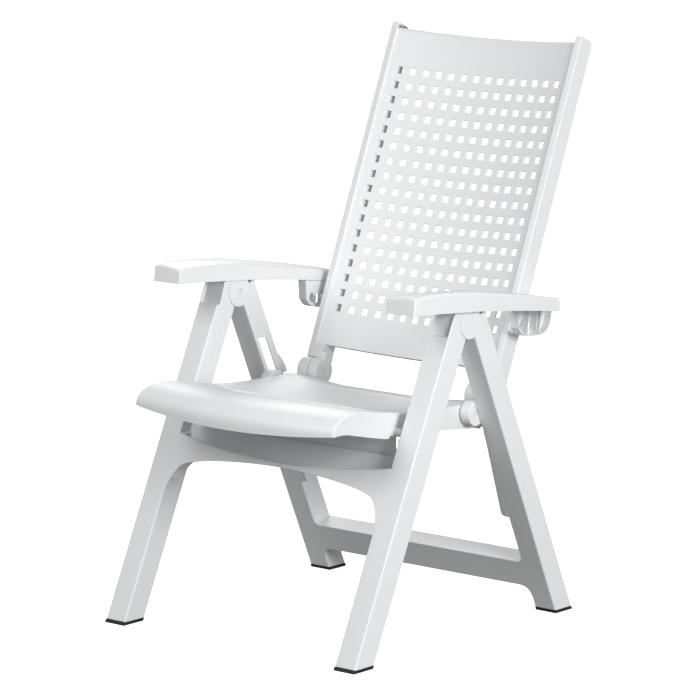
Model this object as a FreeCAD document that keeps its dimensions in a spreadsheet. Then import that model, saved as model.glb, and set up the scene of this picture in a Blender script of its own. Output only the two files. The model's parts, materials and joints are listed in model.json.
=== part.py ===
"""Folding multi-position garden armchair, moulded in plastic.

Two leg frames cross-hinge just under the armrests. The seat is pivoted on the rear legs and rests on
the front legs, the perforated high back is hinged to the rear of the seat, and a ratchet plate under
each armrest sets how far the back leans. Millimetres, +Z up, +X across the chair, -Y is the front.
Side outlines are drawn with their origin at the front feet and moved back to the middle of the chair.
"""

import FreeCAD
import Part
import Sketcher
import math
import os
import re

DIMENSIONS = (
    ("leg_outer", 306, "half width over the legs"),
    ("leg_inner", 258, "half width between the legs"),
    ("wall", 4, "wall of the moulded channels"),
    ("pad_height", 6, "height of a rubber foot pad"),
    ("front_slope", 0.468, "rearward lean of the front legs per unit of height"),
    ("front_depth", 53.6, "level depth of a front leg"),
    ("rear_slope", 0.444, "forward lean of the rear legs per unit of height"),
    ("rear_depth", 50, "level depth of a rear leg"),
    ("rear_foot", 596.6, "front face of the rear legs at the floor"),
    ("pivot_y", 333.3, "leg pivot, from the front feet"),
    ("pivot_z", 594, "leg pivot height"),
    ("cheek_radius", 30, "round hinge cheeks on the rear legs"),
    ("cheek_width", 12, "thickness of one hinge cheek"),
    ("hinge_gap", 0.5, "side gap in a hinge"),
    ("round_gap", 0.6, "radial gap round a hinge knuckle"),
    ("pin_radius", 6, "hinge pins"),
    ("running_gap", 0.05, "radial clearance of a turning pin"),
    ("arm_pivot_z", 628, "armrest pivot height"),
    ("arm_boss", 17, "radius of the leg top inside the armrest"),
    ("apron_low", 314, "underside of the apron at its middle"),
    ("apron_side", 283, "underside of the apron beside its corner curves"),
    ("apron_top", 322, "front wall of the apron, upper edge at its middle"),
    ("apron_end", 344, "front wall of the apron, upper edge at its ends"),
    ("apron_corner", 218, "half width where the corner curves start"),
    ("apron_foot", 243, "where the corner curves meet the legs"),
    ("apron_depth", 34, "level depth of the apron"),
    ("panel_setback", 27, "set-back panel behind the apron front"),
    ("panel_top", 358, "top of the set-back panel"),
    ("peg_y", 207, "seat rest peg, from the front feet"),
    ("peg_z", 385, "seat rest peg height"),
    ("peg_radius", 8, "seat rest peg"),
    ("bar_low", 49, "underside of the rear crossbar"),
    ("bar_high", 100, "front top edge of the rear crossbar"),
    ("bar_back", 112, "rear top edge of the rear crossbar"),
    ("rib_low", 353, "lower edge of the rib across the seat's underside"),
    ("lug_y", 413, "seat pivot, from the front feet"),
    ("lug_z", 408, "seat pivot height"),
    ("lug_radius", 24, "seat pivot lug"),
    ("seat_half", 241, "half width of the seat's front"),
    ("seat_rear_half", 234, "half width of the seat between the legs"),
    ("seat_step", 198, "where the seat narrows"),
    ("lip_y", 20, "front of the seat, from the front feet"),
    ("lip_low", 421, "lower edge of the seat's front lip"),
    ("seat_crown", 458, "highest line of the seat"),
    ("seat_rear", 493, "rear edge of the seat"),
    ("knuckle_y", 493, "back hinge, from the front feet"),
    ("knuckle_z", 424, "back hinge height"),
    ("knuckle_radius", 25, "back hinge knuckles"),
    ("ear_inner", 207, "inner side of the seat's hinge ears"),
    ("ear_outer", 232, "outer side of the seat's hinge ears"),
    ("knuckle_inner", 182, "inner side of the back's knuckles"),
    ("back_lean", 22.67, "lean of the back from upright, degrees"),
    ("back_half", 232.4, "half width of the back"),
    ("back_rail", 15, "width of a back rail beside the panel"),
    ("back_leg", 35, "width of a back rail below the panel"),
    ("back_depth", 37, "depth of a back rail"),
    ("back_top", 709, "top of the rails above the back hinge"),
    ("panel_low", 53.5, "lower edge of the panel above the back hinge"),
    ("panel_high", 700, "upper edge of the panel above the back hinge"),
    ("hinge_inset", 4.3, "back hinge behind the front of the rails"),
    ("panel_sag", 27.4, "hollow of the panel at its middle"),
    ("panel_radius", 1000, "radius of the hollow panel"),
    ("panel_wall", 4, "thickness of the panel"),
    ("hole_size", 14, "side of a square hole"),
    ("hole_pitch_x", 29.8, "hole spacing across"),
    ("hole_pitch_z", 30.3, "hole spacing upward"),
    ("hole_columns", 14, "holes across"),
    ("hole_rows", 17, "holes upward"),
    ("hole_first", 129.3, "lowest row of holes above the back hinge"),
    ("peg_reach", 250, "end of the back's ratchet pegs, from the middle"),
    ("ratchet_peg_up", 148, "ratchet pegs above the back hinge"),
    ("ratchet_peg_in", 18.5, "ratchet pegs behind the front of the rails"),
    ("arm_inner", 251, "inner side of an armrest"),
    ("arm_outer", 318, "outer side of an armrest"),
    ("arm_front", 155, "front of an armrest, from the front feet"),
    ("arm_rear", 586, "rear of an armrest at its outer side"),
    ("arm_rear_inner", 629, "rear of an armrest at its inner side"),
    ("arm_wall", 3.5, "wall of an armrest"),
    ("plate_front", 519, "front of a ratchet plate"),
    ("plate_rear", 625, "rear of a ratchet plate"),
    ("plate_low", 533, "lower edge of a ratchet plate"),
    ("plate_wall", 4, "thickness of a ratchet plate"),
    ("plate_flange", 20, "width of a ratchet plate's flange"),
    ("notch_pitch", 15, "spacing of the ratchet notches"),
    ("notch_count", 6, "number of ratchet notches"),
    ("tab_wall", 4, "thickness of a ratchet plate's fixing tab"),
    ("screw_radius", 2, "shank of a ratchet plate screw"),
)
ALIASES = {alias for alias, _, _ in DIMENSIONS}
SIDES = (("left", -1), ("right", 1))

doc = FreeCAD.newDocument("folding_armchair")
sheet = doc.addObject("Spreadsheet::Sheet", "dims")
for row, (alias, number, note) in enumerate(DIMENSIONS, start=1):
    sheet.set(f"A{row}", alias)
    sheet.set(f"B{row}", str(number))
    sheet.set(f"C{row}", note)
    sheet.setAlias(f"B{row}", alias)
doc.recompute()


def bind(text):
    """Turn a formula over the sheet's aliases into an expression."""
    return re.sub(r"[a-z_]+", lambda m: f"dims.{m[0]}" if m[0] in ALIASES else m[0], str(text))


def size(text):
    """The present value of such a formula."""
    return float(sheet.evalExpression(bind(text)))


def front_face(z):
    """Front face of the front legs at height z."""
    return f"(front_slope * ({z}))"


def front_back(z):
    """Rear face of the front legs at height z."""
    return f"(front_slope * ({z}) + front_depth)"


def rear_face(z):
    """Front face of the rear legs at height z."""
    return f"(rear_foot - rear_slope * ({z}))"


def rear_back(z):
    """Rear face of the rear legs at height z."""
    return f"(rear_foot - rear_slope * ({z}) + rear_depth)"


ARM_PIVOT_Y = f"({front_face('arm_pivot_z')} + front_depth / 2)"
CHAIR_REAR = (
    "(knuckle_y + (back_top * sin(back_lean * 1deg))"
    " + ((back_depth - hinge_inset) * cos(back_lean * 1deg)))"
)
SCREW_PLACES = (("plate_front + 18", "594"), ("plate_rear - 22", "585"))
parts = []


def new_part(label, leaning=False):
    """A new sub-part, moved so that the chair's middle is at the origin."""
    body = doc.addObject("PartDesign::Body", label)
    body.Label = label
    middle = f"-{CHAIR_REAR} / 2"
    if leaning:
        lean = size("back_lean")
        body.Placement.Rotation = FreeCAD.Rotation(FreeCAD.Vector(-1, 0, 0), lean)
        body.setExpression("Placement.Rotation.Angle", bind("back_lean * 1deg"))
        body.setExpression("Placement.Base.z", bind("knuckle_z"))
        middle = f"knuckle_y - {CHAIR_REAR} / 2"
    body.setExpression("Placement.Base.y", bind(middle))
    parts.append(body)
    return body


def new_sketch(body, name, plane, start):
    """A sketch on one of the body's own origin planes, moved out along its normal."""
    sketch = body.newObject("Sketcher::SketchObject", f"{name}_outline")
    support = next(f for f in body.Origin.OriginFeatures if f.Role == plane)
    sketch.AttachmentSupport = [(support, "")]
    sketch.MapMode = "FlatFace"
    sketch.setExpression("AttachmentOffset.Base.z", bind(start))
    return sketch


def fix_point(sketch, geometry, corner, across, up):
    """Bind a sketch point's two coordinates to formulas over the sheet."""
    for kind, axis, text in (("DistanceX", -2, across), ("DistanceY", -1, up)):
        now = size(text)
        if abs(now) < 1e-9:
            sketch.addConstraint(Sketcher.Constraint("PointOnObject", geometry, corner, axis))
            continue
        number = sketch.addConstraint(Sketcher.Constraint(kind, geometry, corner, now))
        sketch.setExpression(f"Constraints[{number}]", bind(text))


def add_arc(sketch, here, there, radius):
    """An arc between two points, turning left for a positive radius; returns its end at here."""
    chord = there - here
    left = FreeCAD.Vector(-chord.y, chord.x, 0).normalize()
    reach = math.sqrt(radius**2 - chord.Length**2 / 4)
    centre = here + chord / 2 + left * math.copysign(reach, radius)
    begin, finish = (here, there) if radius > 0 else (there, here)
    angles = [math.atan2(p.y - centre.y, p.x - centre.x) for p in (begin, finish)]
    if angles[1] < angles[0]:
        angles[1] += 2 * math.pi
    circle = Part.Circle(centre, FreeCAD.Vector(0, 0, 1), abs(radius))
    sketch.addGeometry(Part.ArcOfCircle(circle, *angles), False)
    return 1 if radius > 0 else 2


def draw_outline(sketch, points):
    """A closed outline; a third item in a point is the radius of the arc that leads on from it."""
    places = [FreeCAD.Vector(size(p[0]), size(p[1]), 0) for p in points]
    first = sketch.GeometryCount
    starts = []
    for i, point in enumerate(points):
        there = places[(i + 1) % len(places)]
        if len(point) == 2:
            sketch.addGeometry(Part.LineSegment(places[i], there), False)
            starts.append(1)
        else:
            starts.append(add_arc(sketch, places[i], there, size(point[2])))
    for i, point in enumerate(points):
        before = (i - 1) % len(points)
        end = 3 - starts[before]
        joint = Sketcher.Constraint("Coincident", first + before, end, first + i, starts[i])
        sketch.addConstraint(joint)
        fix_point(sketch, first + i, starts[i], point[0], point[1])
        if len(point) == 3:
            radius = f"abs({point[2]})"
            number = sketch.addConstraint(Sketcher.Constraint("Radius", first + i, size(radius)))
            sketch.setExpression(f"Constraints[{number}]", bind(radius))


def draw_circle(sketch, across, up, radius):
    """A full circle."""
    centre = FreeCAD.Vector(size(across), size(up), 0)
    circle = Part.Circle(centre, FreeCAD.Vector(0, 0, 1), size(radius))
    number = sketch.addGeometry(circle, False)
    fix_point(sketch, number, 3, across, up)
    constraint = sketch.addConstraint(Sketcher.Constraint("Radius", number, size(radius)))
    sketch.setExpression(f"Constraints[{constraint}]", bind(radius))


def extrude(body, name, plane, start, length, outlines=(), circles=(), cut=False):
    """Pad or pocket outlines on an origin plane, from start for length along the plane's normal."""
    sketch = new_sketch(body, name, plane, start)
    for points in outlines:
        draw_outline(sketch, points)
    for circle in circles:
        draw_circle(sketch, *circle)
    feature = body.newObject("PartDesign::Pocket" if cut else "PartDesign::Pad", name)
    feature.Profile = sketch
    feature.Reversed = cut
    feature.setExpression("Length", bind(length))
    return feature


def side_slab(body, name, side, inner, outer, outlines=(), circles=(), cut=False):
    """A slab drawn in side view between two distances from the middle plane."""
    start = inner if side > 0 else f"-({outer})"
    return extrude(body, name, "YZ_Plane", start, f"({outer}) - ({inner})", outlines, circles, cut)


def cross_slab(body, name, half, outlines=(), circles=(), cut=False):
    """A slab drawn in side view right across the chair."""
    return extrude(body, name, "YZ_Plane", f"-({half})", f"2 * ({half})", outlines, circles, cut)


def front_leg_frame():
    """Front legs, the apron that joins them and the set-back panel under the seat."""
    body = new_part("front_leg_frame")
    boss_low = "arm_pivot_z - 16"
    leg = [
        (front_face("pad_height"), "pad_height"),
        (front_face(boss_low), boss_low),
        (f"{ARM_PIVOT_Y} - arm_boss + 1", "arm_pivot_z + 2"),
        (f"{ARM_PIVOT_Y} + arm_boss - 1", "arm_pivot_z + 2"),
        (front_back("pivot_z - 12"), "pivot_z - 12"),
        (front_back("pad_height"), "pad_height"),
    ]
    hollow_low = "pad_height + 30"
    hollow_high = "pivot_z - 60"
    hollow = [
        (f"{front_face(hollow_low)} + wall * 1.2", hollow_low),
        (f"{front_face(hollow_high)} + wall * 1.2", hollow_high),
        (f"{front_back(hollow_high)} + 1", hollow_high),
        (f"{front_back(hollow_low)} + 1", hollow_low),
    ]
    pocket = "cheek_radius + round_gap"
    for word, side in SIDES:
        side_slab(body, f"leg_{word}", side, "leg_inner", "leg_outer", [leg])
        side_slab(
            body, f"top_boss_{word}", side, "leg_inner", "leg_outer",
            circles=[(ARM_PIVOT_Y, "arm_pivot_z", "arm_boss")],
        )
        side_slab(
            body, f"leg_hollow_{word}", side, "leg_inner + wall", "leg_outer - wall", [hollow], cut=True
        )
        for place, low, high in (
            ("inner", "leg_inner - 1", "leg_inner + cheek_width + hinge_gap"),
            ("outer", "leg_outer - cheek_width - hinge_gap", "leg_outer + 1"),
        ):
            side_slab(
                body, f"cheek_pocket_{place}_{word}", side, low, high,
                circles=[("pivot_y", "pivot_z", pocket)], cut=True,
            )
        side_slab(
            body, f"tongue_{word}", side, "leg_inner + cheek_width + hinge_gap",
            "leg_outer - cheek_width - hinge_gap",
            circles=[("pivot_y", "pivot_z", "cheek_radius - 1")],
        )
        for place, across, up in (
            ("leg_pin", "pivot_y", "pivot_z"), ("arm_pin", ARM_PIVOT_Y, "arm_pivot_z")
        ):
            side_slab(
                body, f"{place}_bore_{word}", side, "leg_inner - 1", "leg_outer + 1",
                circles=[(across, up, "pin_radius")], cut=True,
            )
        side_slab(
            body, f"seat_peg_{word}", side, "leg_inner - 14", "leg_inner + 1",
            circles=[("peg_y", "peg_z", "peg_radius")],
        )
    arch = "((apron_corner^2 + (apron_low - apron_side)^2) / (2 * (apron_low - apron_side)))"
    crown = "(((leg_inner + 1)^2 + (apron_end - apron_top)^2) / (2 * (apron_end - apron_top)))"
    apron = [
        ("-leg_inner - 1", "apron_foot"),
        ("-leg_inner", "apron_foot", "-(apron_side - apron_foot) * 1.05"),
        ("-apron_corner", "apron_side", f"-{arch}"),
        ("apron_corner", "apron_side", "-(apron_side - apron_foot) * 1.05"),
        ("leg_inner", "apron_foot"),
        ("leg_inner + 1", "apron_foot"),
        ("leg_inner + 1", "apron_end", f"-{crown}"),
        ("-leg_inner - 1", "apron_end"),
    ]
    front_view(body, "apron", apron, "0", "apron_depth")
    panel = [
        ("-leg_inner - 1", "apron_low + 2"),
        ("leg_inner + 1", "apron_low + 2"),
        ("leg_inner + 1", "panel_top"),
        ("-leg_inner - 1", "panel_top"),
    ]
    front_view(body, "setback_panel", panel, "panel_setback", "wall")
    return body


def front_view(body, name, outline, depth, thickness, cut=False):
    """A slab that leans with the front legs; its outline is drawn at true heights."""
    lean = "atan(front_slope)"
    leaned = [(p[0], f"({p[1]}) / cos({lean})", *p[2:]) for p in outline]
    sketch = new_sketch(body, name, "XZ_Plane", "0")
    angle = math.degrees(math.atan(size("front_slope")))
    across = FreeCAD.Vector(-1, 0, 0)
    sketch.AttachmentOffset = FreeCAD.Placement(FreeCAD.Vector(), FreeCAD.Rotation(across, angle))
    sketch.setExpression("AttachmentOffset.Rotation.Angle", bind(lean))
    sketch.setExpression("AttachmentOffset.Base.z", bind(f"-({depth})"))
    draw_outline(sketch, leaned)
    feature = body.newObject("PartDesign::Pocket" if cut else "PartDesign::Pad", name)
    feature.Profile = sketch
    feature.Reversed = not cut
    feature.setExpression("Length", bind(f"({thickness}) * cos({lean})"))
    return feature


def rear_leg_frame():
    """Rear legs with their hinge cheeks and seat lugs, and the low crossbar that joins them."""
    body = new_part("rear_leg_frame")
    tilt = "atan(rear_slope)"
    shoulder_y = f"pivot_y + rear_depth * cos({tilt}) * cos({tilt})"
    shoulder_z = f"pivot_z + rear_depth * cos({tilt}) * sin({tilt})"
    leg = [
        (rear_face("pad_height"), "pad_height"),
        (rear_back("pad_height"), "pad_height"),
        (shoulder_y, shoulder_z),
        (rear_face("pivot_z"), "pivot_z"),
    ]
    hollow_low = "bar_high + 60"
    hollow_high = "pivot_z - 60"
    hollow = [
        (f"{rear_face(hollow_low)} + wall * 1.2", hollow_low),
        (f"{rear_back(hollow_low)} + 1", hollow_low),
        (f"{rear_back(hollow_high)} + 1", hollow_high),
        (f"{rear_face(hollow_high)} + wall * 1.2", hollow_high),
    ]
    gap = "cheek_radius - 1 + round_gap"
    cheeks = (
        ("inner", "leg_inner", "leg_inner + cheek_width"),
        ("outer", "leg_outer - cheek_width", "leg_outer"),
    )
    for word, side in SIDES:
        side_slab(body, f"leg_{word}", side, "leg_inner", "leg_outer", [leg])
        side_slab(
            body, f"leg_hollow_{word}", side, "leg_inner + wall", "leg_outer - wall", [hollow], cut=True
        )
        side_slab(
            body, f"tongue_slot_{word}", side, "leg_inner + cheek_width", "leg_outer - cheek_width",
            circles=[("pivot_y", "pivot_z", gap)], cut=True,
        )
        for place, low, high in cheeks:
            side_slab(
                body, f"cheek_{place}_{word}", side, low, high,
                circles=[("pivot_y", "pivot_z", "cheek_radius")],
            )
        side_slab(
            body, f"pivot_bore_{word}", side, "leg_inner - 1", "leg_outer + 1",
            circles=[("pivot_y", "pivot_z", "pin_radius + running_gap")], cut=True,
        )
        lug_root = [
            (f"{rear_face('lug_z - 20')} + 1", "lug_z - 20"),
            ("lug_y + 20", "lug_z - 13"),
            ("lug_y + 20", "lug_z + 13"),
            (f"{rear_face('lug_z + 20')} + 1", "lug_z + 20"),
        ]
        side_slab(
            body, f"seat_lug_{word}", side, "seat_rear_half + 2", "leg_inner - hinge_gap",
            circles=[("lug_y", "lug_z", "lug_radius")],
        )
        side_slab(
            body, f"lug_root_{word}", side, "leg_inner - hinge_gap - 1", "leg_inner + 1", [lug_root]
        )
        side_slab(
            body, f"seat_bore_{word}", side, "seat_rear_half", "leg_inner - 1",
            circles=[("lug_y", "lug_z", "pin_radius")], cut=True,
        )
    bar = [
        (rear_face("bar_low"), "bar_low"),
        (f"{rear_face('bar_low')} + wall * 1.5", "bar_low"),
        (f"{rear_face('bar_high')} + wall * 1.5", "bar_high - wall"),
        (f"{rear_back('bar_back')} - wall", "bar_back - wall"),
        (f"{rear_back('bar_low')} - wall", "bar_low"),
        (rear_back("bar_low"), "bar_low"),
        (rear_back("bar_back"), "bar_back"),
        (rear_face("bar_high"), "bar_high"),
    ]
    cross_slab(body, "crossbar", "leg_inner + 1", [bar])
    return body


def foot_pads():
    """Rubber pads under the four feet."""
    for end, face, back in (
        ("front", front_face, front_back),
        ("rear", rear_face, rear_back),
    ):
        for word, side in SIDES:
            body = new_part(f"{end}_foot_pad_{word}")
            pad = [(face("0"), "0"), (back("0"), "0"), (back("pad_height"), "pad_height"),
                   (face("pad_height"), "pad_height")]
            side_slab(body, "pad", side, "leg_inner", "leg_outer", [pad])


def pin(label, across, up, inner, outer, leaning=False):
    """A plain hinge pin across the chair."""
    for word, side in SIDES:
        body = new_part(f"{label}_{word}", leaning)
        side_slab(body, "shaft", side, inner, outer, circles=[(across, up, "pin_radius")])


def seat_top(drop):
    """Top line of the seat from the front lip to the rear edge, lowered by drop."""
    line = (
        ("lip_y + 1", "lip_low + 14"),
        ("lip_y + 9", "lip_low + 25"),
        ("lip_y + 24", "seat_crown - 4"),
        ("lip_y + 52", "seat_crown"),
        ("lip_y + 98", "seat_crown - 3"),
        ("seat_step + 34", "seat_crown - 25"),
        ("lug_y - 66", "seat_crown - 34"),
        ("lug_y + 27", "seat_crown - 35"),
        ("seat_rear - 11", "seat_crown - 44"),
        ("seat_rear", "seat_crown - 52"),
    )
    return [(y, f"{z} - {drop}") for y, z in line]


def seat_shell():
    """Seat: a curved top with a rolled front lip, side skirts and hinge ears for the back."""
    body = new_part("seat_shell")
    under = [(f"{y} + {shift}", z) for (y, z), shift in zip(
        reversed(seat_top("wall")), (-1, -1, 0, 0, 0, 0, 1, 2, 3, 3))]
    shell = (
        [("lip_y", "lip_low")] + seat_top("0")
        + [("seat_rear", "seat_crown - 66"), ("seat_rear - wall", "seat_crown - 66")]
        + under + [("lip_y + wall", "lip_low")]
    )
    cross_slab(body, "top", "seat_half", [shell])
    rib = [("peg_y - 2", "rib_low"), ("peg_y + 2", "rib_low"),
           ("peg_y + 2", "seat_crown - 23"), ("peg_y - 2", "seat_crown - 23")]
    cross_slab(body, "cross_rib", "seat_rear_half - 1", [rib])
    past = "seat_rear + 5"
    for word, side in SIDES:
        trim = [("seat_step", "lip_low - 60"), (past, "lip_low - 60"), (past, "seat_crown + 5"),
                ("seat_step", "seat_crown + 5")]
        side_slab(body, f"narrowing_{word}", side, "seat_rear_half", "seat_half + 1", [trim], cut=True)
        top = seat_top("1")
        front_skirt = (
            [("lip_y + 2", "lip_low")] + top[1:5]
            + [("seat_step", "seat_crown - 19"), ("seat_step - 24", "lip_low - 26"),
               ("lip_y + 34", "lip_low")]
        )
        side_slab(body, f"front_skirt_{word}", side, "seat_half - wall", "seat_half", [front_skirt])
        rear_skirt = (
            [("seat_step - 24", "lip_low - 24"), ("seat_step - 8", "seat_crown - 20")] + top[5:]
            + [("seat_rear", "seat_crown - 66"), ("lug_y + 57", "lug_z - 30"),
               ("lug_y + 38", "lug_z - 38"), ("lug_y - 80", "lug_z - 23"),
               ("peg_y + 30", "peg_z + 2")]
        )
        side_slab(
            body, f"rear_skirt_{word}", side, "seat_rear_half - wall", "seat_rear_half", [rear_skirt]
        )
        step = [("seat_step - 24", "lip_low - 25"), ("seat_step - 8", "seat_crown - 21"),
                ("seat_step", "seat_crown - 21"), ("seat_step - 20", "lip_low - 25")]
        side_slab(
            body, f"skirt_end_{word}", side, "seat_rear_half - wall", "seat_half - 1", [step]
        )
        side_slab(
            body, f"rest_lug_{word}", side, "seat_rear_half - 1", "leg_inner - 8",
            circles=[("peg_y", "peg_z + 2 * peg_radius + 0.4", "peg_radius")],
        )
        side_slab(
            body, f"pivot_boss_{word}", side, "seat_rear_half - 14", "seat_rear_half - 1",
            circles=[("lug_y", "lug_z", "pin_radius + 7")],
        )
        side_slab(
            body, f"pivot_bore_{word}", side, "seat_rear_half - 15", "seat_rear_half + 1",
            circles=[("lug_y", "lug_z", "pin_radius + running_gap")], cut=True,
        )
        side_slab(
            body, f"knuckle_gap_{word}", side, "knuckle_inner - 1", "ear_inner - hinge_gap",
            circles=[("knuckle_y", "knuckle_z", "knuckle_radius + 1.5")], cut=True,
        )
        ear_root = [("knuckle_y - 24", "knuckle_z - 24"), ("seat_rear", "knuckle_z - 24"),
                    ("knuckle_y + 24", "knuckle_z"), ("knuckle_y - 24", "knuckle_z")]
        side_slab(
            body, f"ear_{word}", side, "ear_inner", "ear_outer",
            circles=[("knuckle_y", "knuckle_z", "knuckle_radius")],
        )
        side_slab(body, f"ear_root_{word}", side, "ear_inner", "ear_outer", [ear_root])
        side_slab(
            body, f"back_bore_{word}", side, "ear_inner - 1", "ear_outer + 1",
            circles=[("knuckle_y", "knuckle_z", "pin_radius")], cut=True,
        )
    return body


def backrest():
    """High back, drawn upright about its hinge: two rails, a hollow perforated panel, two knuckles."""
    body = new_part("backrest", leaning=True)
    front = "-hinge_inset"
    rear = "back_depth - hinge_inset"
    rail = [
        (front, "panel_low - 6"), (rear, "panel_low - 6"), (rear, "back_top"), (front, "back_top"),
    ]
    leg = [
        (front, "0"), ("knuckle_radius - 4", "0"), (rear, "18"), (rear, "panel_low + 10"),
        (front, "panel_low + 10"),
    ]
    foot = [
        (front, "1"), ("knuckle_radius - 6", "1"), ("knuckle_radius - 3", "28"), (front, "34"),
    ]
    clear = "knuckle_radius + round_gap"
    for word, side in SIDES:
        side_slab(body, f"rail_{word}", side, "back_half - back_rail", "back_half", [rail])
        side_slab(body, f"rail_foot_{word}", side, "back_half - back_leg", "back_half", [leg])
        side_slab(
            body, f"ear_gap_{word}", side, "ear_inner - hinge_gap", "back_half + 1",
            circles=[("0", "0", clear)], cut=True,
        )
        side_slab(
            body, f"knuckle_{word}", side, "knuckle_inner", "ear_inner - 2 * hinge_gap",
            circles=[("0", "0", "knuckle_radius")],
        )
        side_slab(
            body, f"knuckle_web_{word}", side, "knuckle_inner + 4", "back_half - back_leg + 2", [foot]
        )
        side_slab(
            body, f"hinge_bore_{word}", side, "knuckle_inner - 1", "ear_inner",
            circles=[("0", "0", "pin_radius + running_gap")], cut=True,
        )
        side_slab(
            body, f"peg_bore_{word}", side, "back_half - 10", "back_half + 1",
            circles=[("ratchet_peg_in - hinge_inset", "ratchet_peg_up", "pin_radius")], cut=True,
        )
    edge = "(back_half - back_rail + 3)"
    middle = "panel_sag - hinge_inset - panel_radius"
    panel = [
        (f"-{edge}", f"{middle} + sqrt(panel_radius^2 - {edge}^2)", "-panel_radius"),
        (edge, f"{middle} + sqrt(panel_radius^2 - {edge}^2)"),
        (edge, f"{middle} + sqrt((panel_radius + panel_wall)^2 - {edge}^2)", "panel_radius + panel_wall"),
        (f"-{edge}", f"{middle} + sqrt((panel_radius + panel_wall)^2 - {edge}^2)"),
    ]
    extrude(body, "panel", "XY_Plane", "panel_low", "panel_high - panel_low", [panel])
    first_z = "hole_first - hole_size / 2"
    squares = []
    for column in range(int(size("hole_columns"))):
        x = f"(({column} - (hole_columns - 1) / 2) * hole_pitch_x - hole_size / 2)"
        squares.append([
            (x, first_z), (f"{x} + hole_size", first_z),
            (f"{x} + hole_size", f"{first_z} + hole_size"), (x, f"{first_z} + hole_size"),
        ])
    row = extrude(body, "hole_row", "XZ_Plane", "-60", "80", squares, cut=True)
    doc.recompute()
    grid = body.newObject("PartDesign::LinearPattern", "hole_grid")
    grid.Originals = [row]
    grid.Direction = (row.Profile[0], ["V_Axis"])
    grid.setExpression("Occurrences", bind("hole_rows"))
    grid.setExpression("Length", bind("(hole_rows - 1) * hole_pitch_z"))
    body.Tip = grid
    for name, low in (("header", "panel_high - 6"), ("footer", "panel_low")):
        lip = [
            (f"-{edge}", f"{middle} + sqrt(panel_radius^2 - {edge}^2)", "-panel_radius"),
            (edge, f"{middle} + sqrt(panel_radius^2 - {edge}^2)"),
            (edge, rear), (f"-{edge}", rear),
        ]
        extrude(body, name, "XY_Plane", low, "6", [lip])
    return body


def armrest(word, side):
    """Armrest: a channel open below that covers the top of a front leg."""
    body = new_part(f"armrest_{word}")
    top = [
        ("arm_front", "630"), ("arm_front + 5", "663"), ("arm_front + 60", "663"),
        ("arm_front + 113", "659"), ("arm_front + 181", "653"), ("arm_front + 248", "642"),
        ("arm_front + 341", "626"), ("arm_rear", "608"), ("arm_rear_inner", "600"),
        ("arm_rear_inner", "578"), ("arm_rear", "584"), ("arm_front + 194", "615"),
        ("arm_front + 71", "626"),
    ]
    inside = [
        ("arm_front + arm_wall + 1", "620"), ("arm_front + arm_wall + 4", "663 - arm_wall"),
        ("arm_front + 60", "663 - arm_wall"), ("arm_front + 113", "659 - arm_wall"),
        ("arm_front + 181", "653 - arm_wall"), ("arm_front + 248", "642 - arm_wall"),
        ("arm_front + 341", "626 - arm_wall"), ("arm_rear", "608 - arm_wall"),
        ("arm_rear_inner - arm_wall", "600 - arm_wall"), ("arm_rear_inner - arm_wall", "570"),
    ]
    side_slab(body, "body", side, "arm_inner", "arm_outer", [top])
    side_slab(body, "inside", side, "arm_inner + arm_wall", "arm_outer - arm_wall", [inside], cut=True)
    reach = "arm_outer + 1" if side > 0 else "-(arm_outer + 1)"
    tip = "arm_inner + 18" if side > 0 else "-(arm_inner + 18)"
    trim = [(reach, "arm_rear - 12"), (reach, "arm_rear_inner + 1"), (tip, "arm_rear_inner + 1")]
    extrude(body, "oblique_end", "XY_Plane", "500", "200", [trim], cut=True)
    for place, low, high in (
        ("inner", "arm_inner + 1", "leg_inner - hinge_gap"),
        ("outer", "leg_outer + hinge_gap", "arm_outer - 1"),
    ):
        side_slab(
            body, f"pivot_boss_{place}", side, low, high,
            circles=[(ARM_PIVOT_Y, "arm_pivot_z", "pin_radius + 5")],
        )
    side_slab(
        body, "pivot_bore", side, "arm_inner + arm_wall / 2", "arm_outer - arm_wall / 2",
        circles=[(ARM_PIVOT_Y, "arm_pivot_z", "pin_radius + running_gap")], cut=True,
    )
    side_slab(
        body, "screw_bores", side, "arm_inner + 1", "arm_inner + arm_wall + 1",
        circles=[(y, z, "screw_radius") for y, z in SCREW_PLACES], cut=True,
    )
    return body


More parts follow.
